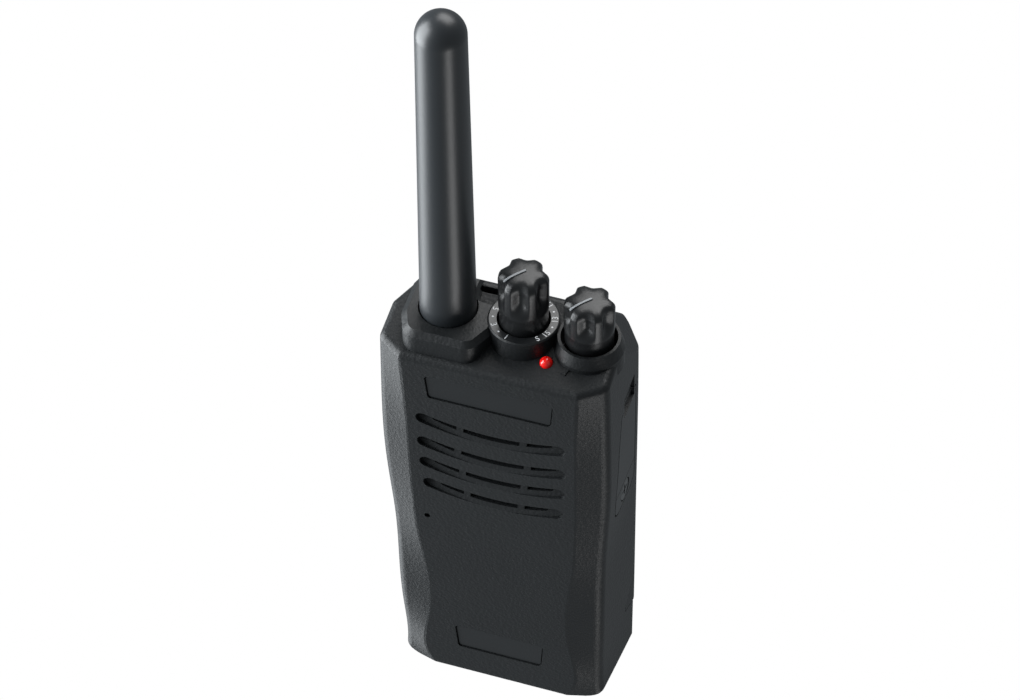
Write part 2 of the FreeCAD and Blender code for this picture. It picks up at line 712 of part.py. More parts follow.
back_holes = [
    box("-latch_wide/2 - gap", "latch_y - 1.7", "3", "latch_wide + 2*gap", "20", "pack_bottom"),
    rod("-body_width/2", CATCH_Y, "catch_level", "0.65", "body_width", "X"),
    box("-hook_x - 2.9", "hook_y - 0.7", "pack_top - 1", "5.8", "3.2", "2.9"),
    box("hook_x - 2.9", "hook_y - 0.7", "pack_top - 1", "5.8", "3.2", "2.9"),
    box(
        "-pad_wide/2 - fit", CHASSIS_BACK, f"{PAD_LOW} - fit",
        "pad_wide + 2*fit", "40", "pad_high + 2*fit",
    ),
]
for name, level, high, flange_x in KEYS:
    flank_holes.append(box(
        "-body_width", "key_y - key_wide/2 - gap", f"{level} - {high}/2 - gap",
        "body_width - 15", "key_wide + 2*gap", f"{high} + 2*gap",
    ))
for side in ("screw_x", "-screw_x"):
    back_holes.append(rod(side, "-4", "screw_level", "screw_radius", "30", "Y"))
    back_holes.append(rod(side, CHASSIS_BACK, "screw_level", "2.5", "30", "Y"))
panel_holes += [solid(cutter) for cutter in grille_cutters()]
case_moulding = fuse(shell, *added)
for holes in (deck_holes, panel_holes, flank_holes, back_holes):
    case_moulding = cut(case_moulding, *holes)
node("front_case", case_moulding)

# ---------------------------------------------------------------- plates, ring and grille cloth
def sunk_plate(level, wide, high):
    """Plate that lies in its recess, a little smaller all round and below the panel."""
    small = 0.3
    slab = panel_plate(level, wide, high, RECESS, small)
    return cut(solid(slab), solid(panel_plate(level, wide + high, 2 * high, small)))


node("name_plate", sunk_plate(PLATE_LEVEL, size("plate_width"), size("plate_high")))
node("badge_plate", sunk_plate(size("badge_level"), size("badge_width"), size("badge_high")))
node("dial_ring", cut(
    rod("dial_x", "dial_y", "dial_top - ring_thick", "dial_radius - 0.35", "ring_thick"),
    rod("dial_x", "dial_y", "dial_top - ring_thick", "dial_bore", "ring_thick"),
))
cloth_form = solid(column(size("wall") + size("cloth")))
cloth_band = box(
    "-speaker_radius", "-30", f"{SPEAKER_Z} - speaker_radius",
    "2*speaker_radius", "22", "2*speaker_radius",
)
node("grille_cloth", cut(common(inner_form, cloth_band), cloth_form))

# ---------------------------------------------------------------- speaker and microphone
speaker_back = "(speaker_front_y + speaker_deep)"
node("speaker_gasket", common(
    cloth_form,
    tube("0", "-30", SPEAKER_Z, "speaker_radius", "speaker_radius - 2.2", "30 + speaker_front_y", "Y"),
))
node("speaker_frame", cut(
    rod("0", "speaker_front_y", SPEAKER_Z, "speaker_radius", "speaker_deep", "Y"),
    rod("0", "speaker_front_y", SPEAKER_Z, "speaker_radius - 2.2", "1.2", "Y"),
    cone("0", "speaker_front_y + 1.2", SPEAKER_Z, "speaker_radius - 2.2", "7", "speaker_deep - 2.2", "Y"),
    rod("0", f"{speaker_back} - 1.0", SPEAKER_Z, "6", "1.0", "Y"),
))
node("speaker_cone", cut(
    cone("0", "speaker_front_y + 0.3", SPEAKER_Z, "speaker_radius - 2.6", "6.4", "speaker_deep - 2.2", "Y"),
    cone("0", "speaker_front_y + 0.3", SPEAKER_Z, "speaker_radius - 3.1", "5.6", "speaker_deep - 2.6", "Y"),
))
node("speaker_magnet", rod("0", speaker_back, SPEAKER_Z, "8", "1.8", "Y"))
boot_back = "-9.2"
node("microphone_boot", common(inner_form, cut(
    rod("mic_x", "-30", "mic_level", "2.3", f"30 + {boot_back}", "Y"),
    rod("mic_x", f"{boot_back} - 1.6", "mic_level", "1.6", "3", "Y"),
    rod("mic_x", "-30", "mic_level", "mic_radius", "30", "Y"),
)))
node("microphone_capsule", rod("mic_x", f"{boot_back} - 1.6", "mic_level", "1.55", "1.6", "Y"))

# ---------------------------------------------------------------- chassis, boards and screws
plate_form = common(
    solid(case_form(size("wall") + size("fit"), size("wall") + 1.2)),
    box(
        "-body_width", "chassis_y", "wall + fit",
        "2*body_width", "chassis_thick", f"{UNDER_WELL} - 0.6 - wall - fit",
    ),
)
posts = [
    rod(side, BOARD_BACK, level, "1.8", f"chassis_y - {BOARD_BACK}", "Y")
    for side in ("board_screw_x", "-board_screw_x")
    for level in ("board_screw_low", "board_screw_high")
]
pad = cut(
    box("-pad_wide/2", CHASSIS_BACK, PAD_LOW, "pad_wide", f"pad_y - {CHASSIS_BACK}", "pad_high"),
    box(
        "-pad_wide/2 + 2", "chassis_y", f"{PAD_LOW} + 2",
        "pad_wide - 4", "pad_y - chassis_y - 2", "pad_high - 4",
    ),
)
clip_bosses = [
    rod(side, CHASSIS_BACK, "clip_level", "3.2", f"pad_y - {CHASSIS_BACK}", "Y")
    for side in ("clip_pitch/2", "-clip_pitch/2")
]
clip_holes = [
    rod(side, "pad_y - clip_depth", "clip_level", "clip_bore", "10", "Y")
    for side in ("clip_pitch/2", "-clip_pitch/2")
]
chassis_holes = clip_holes + [
    rod(side, "-5", "screw_level", "screw_radius + 0.3", "15", "Y") for side in ("screw_x", "-screw_x")
]
for side in ("board_screw_x", "-board_screw_x"):
    for level in ("board_screw_low", "board_screw_high"):
        chassis_holes.append(rod(side, BOARD_BACK, level, "0.8", f"chassis_y - {BOARD_BACK}", "Y"))
chassis_holes += [
    box("jack_inner - 2*fit", "-5", f"{JACK_LOW} - 2*fit", "20", "20", "jack_pitch + 12 + 4*fit"),
    box(
        PAD_X + " - fit", "-30", "cover_foot - 2 - fit",
        "20", "60", "cover_top - cover_foot + 7 + 2*fit",
    ),
    block(
        "0", "chassis_y", "terminal_level - terminal_half - fit",
        "18.4 + 2*fit", "20", "terminal_level + terminal_half + fit",
    ),
]
node("chassis", cut(fuse(plate_form, pad, *posts, *clip_bosses), *chassis_holes))
main_board = cut(
    block("0", "board_y + board_thick/2", "board_foot", "board_wide", "board_thick", "board_top"),
    *[rod(side, "board_y - 1", level, "1.1", "5", "Y")
      for side in ("board_screw_x", "-board_screw_x")
      for level in ("board_screw_low", "board_screw_high")],
)
node("main_board", main_board)
node("shield_cans", group(
    block("-5.4", "board_y - 1.2", "24", "16", "2.4", "38"),
    block("4.6", "board_y - 1.2", "39.4", "20", "2.4", "54"),
    block("0", f"{BOARD_BACK} + 1.1", "60", "22", "2.2", "78"),
))
node("control_board", box("-2", "-10.6", f"{UNDER_WELL} - control_deep - 1", "25.6", "13.2", "1"))
board_screws = []
for side in ("board_screw_x", "-board_screw_x"):
    for level in ("board_screw_low", "board_screw_high"):
        board_screws.append(fuse(
            rod(side, "board_y - 1.0", level, "1.7", "1.0", "Y"),
            rod(side, "board_y - 0.5", level, "0.8", "5.0", "Y"),
        ))
node("board_screws", group(*board_screws))
case_screws = []
for side in ("screw_x", "-screw_x"):
    case_screws.append(cut(
        fuse(
            rod(side, CHASSIS_BACK, "screw_level", "1.9", "1.3", "Y"),
            rod(side, "-3.6", "screw_level", "screw_radius", f"3.6 + {CHASSIS_BACK} + 0.5", "Y"),
        ),
        block(side, CHASSIS_BACK + " + 1.1", "screw_level - 0.25", "2.2", "0.8", "screw_level + 0.25"),
        block(side, CHASSIS_BACK + " + 1.1", "screw_level - 1.1", "0.5", "0.8", "screw_level + 1.1"),
    ))
node("case_screws", group(*case_screws))

# ---------------------------------------------------------------- indicator light
node("led_lens", fuse(
    rod("led_x", "led_y", f"{UNDER_WELL} - control_deep + 1.0", "led_radius",
        f"led_top - led_radius - {UNDER_WELL} + control_deep - 1.0"),
    ball("led_x", "led_y", "led_top - led_radius", "led_radius"),
))
node("led_chip", block(
    "led_x", "led_y", f"{UNDER_WELL} - control_deep",
    "1.6", "0.9", f"{UNDER_WELL} - control_deep + 0.8",
))

# ---------------------------------------------------------------- rotary controls
def sketch_in(body, role, name):
    plane = next(feature for feature in body.Origin.OriginFeatures if feature.Role == role)
    sketch = body.newObject("Sketcher::SketchObject", name)
    sketch.AttachmentSupport = [(plane, "")]
    sketch.MapMode = "FlatFace"
    return sketch


def draw_polygon(sketch, corners):
    """Closed outline whose corners are tied to the sheet, one pair of distances each."""
    count = len(corners)
    points = [V(size(x), size(y), 0) for x, y in corners]
    for turn in range(count):
        sketch.addGeometry(Part.LineSegment(points[turn], points[(turn + 1) % count]), False)
    for turn in range(count):
        sketch.addConstraint(Sketcher.Constraint("Coincident", turn, 2, (turn + 1) % count, 1))
    for turn, (x, y) in enumerate(corners):
        for kind, text, axis in (("DistanceX", x, -2), ("DistanceY", y, -1)):
            if text == "0":
                sketch.addConstraint(Sketcher.Constraint("PointOnObject", turn, 1, axis))
            else:
                number = sketch.addConstraint(Sketcher.Constraint(kind, -1, 1, turn, 1, size(text)))
                sketch.setExpression(f"Constraints[{number}]", formula(text))


def revolved(name, corners, x, y, z):
    """Body turned about its own Z axis from an outline of (radius, level) corners."""
    body = doc.addObject("PartDesign::Body", name)
    sketch = sketch_in(body, "XZ_Plane", name + "_outline")
    draw_polygon(sketch, corners)
    turned = body.newObject("PartDesign::Revolution", name + "_turned")
    turned.Profile = sketch
    turned.ReferenceAxis = (sketch, ["V_Axis"])
    turned.Angle = 360.0
    return place(body, x, y, z)


def ribbed_knob(name, x, y, foot, top, seat):
    """Knob turned from a domed outline, with six scallops cut down from its top."""
    tall = f"({top} - {foot})"
    relief = f"({UNDER_WELL} + bushing_length + 0.5 - {foot})"
    body = revolved(name, [
        ("shaft_radius", relief),
        ("bushing_radius + 1.2", relief),
        ("bushing_radius + 1.2", "0"),
        ("knob_radius", "0"),
        ("knob_radius", f"{tall} * 0.72"),
        ("knob_radius - 0.5", f"{tall} * 0.86"),
        ("knob_radius - 1.6", f"{tall} * 0.95"),
        ("knob_radius - 3.2", tall),
        ("0", tall),
        ("0", seat),
        ("shaft_radius", seat),
    ], x, y, foot)
    scallop = sketch_in(body, "XY_Plane", name + "_scallop")
    number = scallop.addGeometry(Part.Circle(V(6.6, 0, 0), V(0, 0, 1), 1.9), False)
    scallop.addConstraint(Sketcher.Constraint("PointOnObject", number, 3, -1))
    reach = scallop.addConstraint(Sketcher.Constraint("DistanceX", -1, 1, number, 3, 6.6))
    scallop.setExpression(f"Constraints[{reach}]", formula("knob_radius + 1.0"))
    round_size = scallop.addConstraint(Sketcher.Constraint("Radius", number, 1.9))
    scallop.setExpression(f"Constraints[{round_size}]", formula("knob_radius * 0.36"))
    scallop.AttachmentOffset = FreeCAD.Placement(V(0, 0, size(tall) * 0.4), FreeCAD.Rotation())
    pocket = body.newObject("PartDesign::Pocket", name + "_flute")
    pocket.Profile = scallop
    pocket.Type = "ThroughAll"
    pocket.Reversed = True
    ring = body.newObject("PartDesign::PolarPattern", name + "_flutes")
    ring.Originals = [pocket]
    axis = next(feature for feature in body.Origin.OriginFeatures if feature.Role == "Z_Axis")
    ring.Axis = (axis, [""])
    ring.Angle = 360.0
    ring.Occurrences = 6
    body.Tip = ring
    return body


def rotary_control(word, case_name, x, y, knob_foot, knob_top):
    """Body with a threaded bushing, its nut, its turning shaft and the knob pushed on it."""
    under = f"({UNDER_WELL})"
    deep = f"({under} - control_deep)"
    node(case_name, cut(
        fuse(
            block(x, y, deep, "control_size", "control_size", under),
            rod(x, y, under, "bushing_radius", "bushing_length"),
        ),
        rod(x, y, f"{deep} + 1.5", "shaft_radius + bearing", FAR),
        rod(x, y, f"{deep} + 1.5", "shaft_radius + 1.4", "2.0"),
    ))
    node(f"{word}_nut", cut(
        hexagon(x, y, WELL, "nut_flats", "nut_thick"),
        rod(x, y, WELL, "bushing_radius", "nut_thick"),
    ))
    seat = f"({knob_top} - 3.0)"
    node(f"{word}_shaft", fuse(
        rod(x, y, f"{deep} + 1.6", "shaft_radius", f"{seat} - {deep} - 1.6"),
        rod(x, y, f"{deep} + 1.7", "shaft_radius + 1.1", "1.6"),
    ))
    knob = ribbed_knob(f"{word}_knob", x, y, knob_foot, knob_top, f"({seat} - {knob_foot})")
    node(f"{word}_knob", knob)
    return tube(x, y, f"{WELL} + nut_thick", "bushing_radius + 0.9", "bushing_radius", "0.9")


seals = [
    rotary_control("channel", "channel_encoder", "dial_x", "dial_y", "channel_knob_foot", "channel_knob_top"),
    rotary_control("volume", "volume_pot", VOLUME_X, "volume_y", "volume_knob_foot", "volume_knob_top"),
]
node("shaft_seals", group(*seals))

# ---------------------------------------------------------------- antenna
stud_low = f"({UNDER_WELL} - 2.0)"
node("antenna_ferrule", fuse(
    rod(ANTENNA_X, "antenna_y", stud_low, "4.2", "2.0"),
    rod(ANTENNA_X, "antenna_y", UNDER_WELL, "ferrule_radius", f"antenna_seat + 8 - {UNDER_WELL}"),
))
node("antenna_contact", block(ANTENNA_X, "board_y - 0.4", "board_top - 6", "2.4", "0.8", stud_low))
SHEATH = "(antenna_tip - antenna_seat)"
node("antenna_sheath", revolved("antenna_sheath", [
    ("ferrule_radius", "0"),
    ("sheath_foot_radius", "0"),
    ("sheath_foot_radius", "4"),
    ("sheath_tip_radius + 0.05", f"{SHEATH} - sheath_tip_radius - 0.5"),
    ("sheath_tip_radius * 0.92", f"{SHEATH} - sheath_tip_radius * 0.62"),
    ("sheath_tip_radius * 0.71", f"{SHEATH} - sheath_tip_radius * 0.29"),
    ("sheath_tip_radius * 0.38", f"{SHEATH} - sheath_tip_radius * 0.07"),
    ("0", SHEATH),
    ("0", f"{SHEATH} - 9"),
    ("antenna_bore", f"{SHEATH} - 9"),
    ("antenna_bore", "8"),
    ("ferrule_radius", "8"),
], ANTENNA_X, "antenna_y", "antenna_seat"))
coil_low = "(antenna_seat + 8)"
coil_long = f"({SHEATH} - 9 - 8)"
node("antenna_coil", tube(ANTENNA_X, "antenna_y", coil_low, "antenna_bore", "antenna_bore - 0.6", coil_long))
node("antenna_core", rod(ANTENNA_X, "antenna_y", coil_low, "antenna_bore - 0.6", coil_long))

# ---------------------------------------------------------------- side keys
key_form = solid(column(-size("key_proud")))
PLUNGER_X = "(board_wide/2 + 4.1)"
switches = []
for name, level, high, flange_x in KEYS:
    face = common(key_form, box(
        "-body_width", "key_y - key_wide/2", f"{level} - {high}/2",
        f"body_width - {flange_x} + 0.1", "key_wide", high,
    ))
    flange = box(
        f"-{flange_x}", "key_y - key_wide/2 - 0.7", f"{level} - {high}/2 - 0.9",
        "0.9", "key_wide + 1.4", f"{high} + 1.8",
    )
    plunger = box(
        f"-{flange_x} + 0.8", "key_y - 1.5", f"{level} - 1.5",
        f"{flange_x} - 0.8 - {PLUNGER_X}", "3", "3",
    )
    node(name, fuse(face, flange, plunger))
    switches.append(box("-board_wide/2 - 2.6", "key_y - 2", f"{level} - 2", "2.6", "3.6", "4"))
node("key_switches", group(*switches))
node("key_seal", box(
    "-board_wide/2 - 3.0", "key_y - 3.6", "lower_key_level - 6",
    "0.4", "7.6", "ptt_level + 12 - lower_key_level + 6",
))

# ---------------------------------------------------------------- accessory jacks and their cover
node("jack_block", cut(
    box(
        "jack_inner", JACK_FRONT, JACK_LOW,
        f"{COVER_X} - jack_inner - bearing", f"{CHASSIS_BACK} - {JACK_FRONT}", "jack_pitch + 12",
    ),
    rod("jack_inner + 1", "jack_y", "jack_level", "big_jack_radius", "20", "X"),
    rod("jack_inner + 1", "jack_y", "jack_level - jack_pitch", "small_jack_radius", "20", "X"),
))
SKIN_X = f"({COVER_X} + bearing)"
cover_slab = cut(
    common(tall_form, solid(cover_prism(size("gap")))),
    box("-body_width", "-50", "0", f"body_width + {SKIN_X}", "100", FAR),
)
flap_zone = box("0", "-50", "cover_split", "2*body_width", "100", "body_height")
tab_zone = box("0", "-50", "0", "2*body_width", "100", "cover_split - 0.3")
finger = box(COVER_X + " + 0.8", "cover_y - 2.4", "cover_top - 2.4", "20", "8.0", "3.0")
node("jack_cover", cut(common(cover_slab, flap_zone), finger))
SCREW_SEAT = "(body_width/2 - 1.3)"
node("jack_cover_tab", cut(
    common(cover_slab, tab_zone),
    rod(SCREW_SEAT, "cover_y", "cover_level", "3.0", "10", "X"),
    rod("0", "cover_y", "cover_level", "screw_radius + fit", "60", "X"),
))
node("jack_cover_screw", cut(
    fuse(
        rod(SCREW_SEAT, "cover_y", "cover_level", "2.7", "0.6", "X"),
        rod(f"{PAD_X} + 0.3", "cover_y", "cover_level", "screw_radius", f"{SCREW_SEAT} - {PAD_X} + 0.1", "X"),
    ),
    box(SCREW_SEAT + " + 0.25", "cover_y - 1.6", "cover_level - 0.3", "5", "3.2", "0.6"),
    box(SCREW_SEAT + " + 0.25", "cover_y - 0.3", "cover_level - 1.6", "5", "0.6", "3.2"),
))

# ---------------------------------------------------------------- battery pack
pack_body = common(outside, solid(pack_zone(0)))
tub_block = box(
    "-pack_tub_width/2", f"{CHASSIS_BACK} + gap", "pack_bottom + toe_rise",
    "pack_tub_width", "seam_y + 1", "pack_top - pack_bottom - toe_rise",
)
tub_slope = common(outside, tub_block)
pack_form = fuse(pack_body, tub_slope)
PACK_FLOOR = "(pack_bottom + toe_rise + pack_shell)"
pack_inner = common(
    solid(column(size("pack_shell"))),
    box(
        "-pack_tub_width/2 + pack_shell", f"{CHASSIS_BACK} + gap + pack_shell", PACK_FLOOR,
        "pack_tub_width - 2*pack_shell", "20", f"pack_top - pack_shell - {PACK_FLOOR}",
    ),
)
SPLIT_Y = "(seam_y + 1.6)"
front_half = box("-body_width", "-body_width", "0", "2*body_width", f"body_width + {SPLIT_Y}", FAR)
back_half = box("-body_width", SPLIT_Y, "0", "2*body_width", "body_width", FAR)
hooks = [
    box(f"{side} - 2.5", "hook_y", "pack_top - 1", "5", "1.8", "2.2")
    for side in ("-hook_x", "hook_x")
]
CONTACT_X = ("-terminal_pitch", "0", "terminal_pitch")


def contact_pads():
    """Flat contacts in the front wall of the pack."""
    return [
        block(x, f"{CHASSIS_BACK} + gap + 0.3", "terminal_level - 3", "3", "0.6", "terminal_level + 3")
        for x in CONTACT_X
    ]


node("battery_tub", cut(fuse(common(pack_form, front_half), *hooks), pack_inner, *contact_pads()))
node("battery_back", cut(common(pack_form, back_half), pack_inner))
node("battery_contacts", group(*contact_pads()))
CELL_WIDE = "(pack_tub_width/2 - pack_shell - 1.5)"
node("battery_cells", group(*[
    box(
        x, f"{CHASSIS_BACK} + gap + pack_shell + 0.2", "pack_bottom + 4",
        CELL_WIDE, "6.2", "pack_top - pack_bottom - 18",
    )
    for x in (f"-0.8 - {CELL_WIDE}", "0.8")
]))
node("battery_board", box("-20", "9.4", "pack_top - 12", "40", "1", "9"))

# ---------------------------------------------------------------- battery terminals, latch and catch
node("terminal_block", cut(
    block(
        "0", f"{CHASSIS_BACK} - 2.6", "terminal_level - terminal_half",
        "18.4", "5.2", "terminal_level + terminal_half",
    ),
    *[block(x, f"{CHASSIS_BACK} - 0.7", "terminal_level - 2", "1.6", "1.4", "terminal_level + 2")
      for x in CONTACT_X],
))
node("terminal_springs", group(*[
    block(x, f"{CHASSIS_BACK} - 0.55", "terminal_level - 2", "1.6", "1.7", "terminal_level + 2")
    for x in CONTACT_X
]))
node("release_latch", fuse(
    block("0", "latch_y", "latch_low", "latch_wide", "2.8", "pack_bottom - 0.6"),
    block(
        "0", "latch_y + thumb_step", "latch_low + 1.8",
        "latch_wide", "2.2", "pack_bottom - 0.6",
    ),
))
node("latch_spring", group(*[tube(x, "latch_y", "3", "1.1", "0.7", "4.2") for x in ("-4", "4")]))
node("safety_catch", cut(
    fuse(
        block("0", CATCH_Y, "catch_level", "latch_wide", "1.2", "catch_top"),
        rod("-latch_wide/2", CATCH_Y, "catch_level", "1.1", "latch_wide", "X"),
    ),
    rod("-body_width/2", CATCH_Y, "catch_level", "0.65", "body_width", "X"),
))
node("catch_pin", rod(
    "-latch_wide/2 - 1.9", CATCH_Y, "catch_level", "0.6", "latch_wide + 3.8", "X",
))

# ---------------------------------------------------------------- check and export
doc.recompute()
for piece in doc.Objects:
    faulty = {"Invalid", "Error"} & set(piece.State)
    if faulty:
        raise RuntimeError(f"{piece.Name} ({piece.Label}) did not compute")
for piece in nodes:
    if piece.Shape.isNull() or not piece.Shape.isValid():
        raise RuntimeError(f"{piece.Label} has no valid shape")
for piece in nodes:
    piece.Shape.exportStep(f"parts/{piece.Label}.step")
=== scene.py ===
import math

import bmesh
import bpy
from mathutils import Euler, Matrix, Vector


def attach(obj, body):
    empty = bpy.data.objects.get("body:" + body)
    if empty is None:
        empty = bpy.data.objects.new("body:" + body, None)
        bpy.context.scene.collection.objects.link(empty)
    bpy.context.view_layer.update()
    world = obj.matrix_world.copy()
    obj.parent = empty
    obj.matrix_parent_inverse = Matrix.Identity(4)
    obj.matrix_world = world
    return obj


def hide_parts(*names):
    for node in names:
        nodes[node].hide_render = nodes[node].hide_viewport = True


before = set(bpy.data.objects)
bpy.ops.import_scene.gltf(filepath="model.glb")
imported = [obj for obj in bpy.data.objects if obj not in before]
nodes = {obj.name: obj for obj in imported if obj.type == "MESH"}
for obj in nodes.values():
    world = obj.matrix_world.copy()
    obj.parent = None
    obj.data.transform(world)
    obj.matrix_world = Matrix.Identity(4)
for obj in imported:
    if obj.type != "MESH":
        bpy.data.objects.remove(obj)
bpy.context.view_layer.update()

MM = 0.001

# ---------------------------------------------------------------------------
# Camera, floor and lights. The radio stands on a pale sweep and is seen from
# its front right, well from above, through a long lens. The floor only gives
# the background: it throws no light on the radio and takes no shadow.
# ---------------------------------------------------------------------------
CAMERA_PLACE = (0.2188, -0.63473, 0.8373)
CAMERA_DOWN = 47.4
CAMERA_SIDE = 19.03
CAMERA_ROLL = -0.72
scene = bpy.context.scene
lens = bpy.data.cameras.new("studio_camera")
lens.lens = 155.36
lens.sensor_width = 36.0
lens.clip_start = 0.05
lens.clip_end = 20.0
camera = bpy.data.objects.new("studio_camera", lens)
scene.collection.objects.link(camera)
camera_turn = Euler((math.radians(90 - CAMERA_DOWN), 0, math.radians(CAMERA_SIDE))).to_matrix()
camera_roll = Matrix.Rotation(math.radians(CAMERA_ROLL), 3, "Z")
camera.matrix_world = Matrix.Translation(CAMERA_PLACE) @ (camera_turn @ camera_roll).to_4x4()
scene.camera = camera


def mesh_object(name, shape):
    """Turn a finished bmesh into an object at the origin."""
    mesh = bpy.data.meshes.new(name)
    shape.to_mesh(mesh)
    shape.free()
    thing = bpy.data.objects.new(name, mesh)
    scene.collection.objects.link(thing)
    return thing


def new_material(name):
    """Node material, its node tree and its shader."""
    material = bpy.data.materials.new(name)
    material.use_nodes = True
    tree = material.node_tree
    shader = tree.nodes["Principled BSDF"]
    return material, tree, shader


floor_shape = bmesh.new()
bmesh.ops.create_grid(floor_shape, x_segments=1, y_segments=1, size=3.0)
floor = mesh_object("floor", floor_shape)
floor_paint, floor_tree, floor_shader = new_material("floor_paint")
floor_shader.inputs["Base Color"].default_value = (0.0, 0.0, 0.0, 1)
floor_shader.inputs["Emission Color"].default_value = (1.0, 1.0, 1.0, 1)
floor_shader.inputs["Emission Strength"].default_value = 1.0
floor_shader.inputs["Specular IOR Level"].default_value = 0.0
floor.data.materials.append(floor_paint)
floor.visible_glossy = False
floor.visible_diffuse = False
floor.visible_shadow = False

world = bpy.data.worlds.new("studio")
scene.world = world
world.use_nodes = True
world.node_tree.nodes["Background"].inputs["Color"].default_value = (0.88, 0.95, 1.0, 1)
world.node_tree.nodes["Background"].inputs["Strength"].default_value = 0.3
scene.view_settings.view_transform = "Standard"


def soft_light(name, place, aim, size, power, tint=(1, 1, 1)):
    """Square soft box that points at a spot on the radio."""
    lamp = bpy.data.lights.new(name, "AREA")
    lamp.shape = "RECTANGLE"
    lamp.size, lamp.size_y = size
    lamp.energy = power
    lamp.color = tint
    light = bpy.data.objects.new(name, lamp)
    scene.collection.objects.link(light)
    look = Vector(aim) - Vector(place)
    light.rotation_euler = look.to_track_quat("-Z", "Y").to_euler()
    light.location = place


MIDDLE = (0, 0, 0.1)
COOL = (0.93, 0.97, 1.0)
soft_light("side_box", (-0.9, -0.25, 0.2), MIDDLE, (0.9, 1.5), 45, COOL)
soft_light("top_box", (0.1, 0.7, 1.1), MIDDLE, (1.0, 0.8), 14)
soft_light("low_left_box", (-0.8, -0.06, -0.75), (0, 0, 0.06), (0.5, 0.7), 3.2, COOL)
soft_light("right_box", (0.7, -0.6, -0.75), (0, 0, 0.08), (0.4, 0.6), 3)


# ---------------------------------------------------------------------------
# Front case. One glass-filled moulding: leaning panel, bevelled flanks, sloping
# deck with two collars and the antenna boss. Spark-eroded grain all over.
# ---------------------------------------------------------------------------
def group_socket(group, name, way, kind, value=None):
    socket = group.interface.new_socket(name=name, in_out=way, socket_type=kind)
    if value is not None:
        socket.default_value = value
    return socket


def build_grain_group():
    """Moulded grain: pits of two sizes, a soft drift of tone, and a normal."""
    group = bpy.data.node_groups.new("moulded_grain", "ShaderNodeTree")
    group_socket(group, "Dark", "INPUT", "NodeSocketColor", (0.01, 0.01, 0.01, 1))
    group_socket(group, "Light", "INPUT", "NodeSocketColor", (0.02, 0.02, 0.02, 1))
    group_socket(group, "Pits per metre", "INPUT", "NodeSocketFloat", 2200.0)
    group_socket(group, "Depth", "INPUT", "NodeSocketFloat", 0.00005)
    group_socket(group, "Smooth", "INPUT", "NodeSocketFloat", 0.4)
    group_socket(group, "Rough", "INPUT", "NodeSocketFloat", 0.6)
    group_socket(group, "Color", "OUTPUT", "NodeSocketColor")
    group_socket(group, "Roughness", "OUTPUT", "NodeSocketFloat")
    group_socket(group, "Normal", "OUTPUT", "NodeSocketVector")
    make = group.nodes.new
    join = group.links.new
    given = make("NodeGroupInput")
    result = make("NodeGroupOutput")
    where = make("ShaderNodeTexCoord")
    pits = make("ShaderNodeTexNoise")
    pits.inputs["Detail"].default_value = 2.0
    pits.inputs["Roughness"].default_value = 0.6
    cells = make("ShaderNodeTexVoronoi")
    cells.feature = "SMOOTH_F1"
    cells.inputs["Smoothness"].default_value = 0.6
    half = make("ShaderNodeMath")
    half.operation = "MULTIPLY"
    half.inputs[1].default_value = 0.55
    drift = make("ShaderNodeTexNoise")
    drift.inputs["Scale"].default_value = 60.0
    drift.inputs["Detail"].default_value = 3.0
    both = make("ShaderNodeMath")
    both.operation = "ADD"
    tone = make("ShaderNodeMix")
    tone.data_type = "RGBA"
    polish = make("ShaderNodeMix")
    polish.data_type = "FLOAT"
    blend = make("ShaderNodeMath")
    blend.operation = "MULTIPLY_ADD"
    blend.inputs[1].default_value = 0.6
    blend.inputs[2].default_value = 0.1
    bump = make("ShaderNodeBump")
    bump.inputs["Strength"].default_value = 1.0
    for texture in (pits, cells, drift):
        join(where.outputs["Object"], texture.inputs["Vector"])
    join(given.outputs["Pits per metre"], pits.inputs["Scale"])
    join(given.outputs["Pits per metre"], half.inputs[0])
    join(half.outputs["Value"], cells.inputs["Scale"])
    join(pits.outputs["Fac"], both.inputs[0])
    join(cells.outputs["Distance"], both.inputs[1])
    join(drift.outputs["Fac"], tone.inputs["Factor"])
    join(given.outputs["Dark"], tone.inputs["A"])
    join(given.outputs["Light"], tone.inputs["B"])
    join(pits.outputs["Fac"], blend.inputs[0])
    join(blend.outputs["Value"], polish.inputs["Factor"])
    join(given.outputs["Smooth"], polish.inputs["A"])
    join(given.outputs["Rough"], polish.inputs["B"])
    join(both.outputs["Value"], bump.inputs["Height"])
    join(given.outputs["Depth"], bump.inputs["Distance"])
    join(tone.outputs["Result"], result.inputs["Color"])
    join(polish.outputs["Result"], result.inputs["Roughness"])
    join(bump.outputs["Normal"], result.inputs["Normal"])
    return group


grain_group = build_grain_group()


def moulded(name, dark, light, pits=2200.0, depth=0.00005, smooth=0.4, rough=0.6, specular=0.4):
    """Moulded plastic or rubber with its own tones, grain and polish."""
    material, tree, shader = new_material(name)
    grain = tree.nodes.new("ShaderNodeGroup")
    grain.node_tree = grain_group
    grain.inputs["Dark"].default_value = (*dark, 1)
    grain.inputs["Light"].default_value = (*light, 1)
    grain.inputs["Pits per metre"].default_value = pits
    grain.inputs["Depth"].default_value = depth
    grain.inputs["Smooth"].default_value = smooth
    grain.inputs["Rough"].default_value = rough
    tree.links.new(grain.outputs["Color"], shader.inputs["Base Color"])
    tree.links.new(grain.outputs["Roughness"], shader.inputs["Roughness"])
    tree.links.new(grain.outputs["Normal"], shader.inputs["Normal"])
    shader.inputs["Specular IOR Level"].default_value = specular
    return material


def finish_node(node, material):
    """Give a CAD node its material."""
    piece = nodes[node]
    piece.data.materials.clear()
    piece.data.materials.append(material)


case_plastic = moulded(
    "case_plastic", (0.006, 0.0068, 0.0074), (0.009, 0.0102, 0.011), 2200, 0.00005, 0.4, 0.55, 0.32,
)
finish_node("front_case", case_plastic)

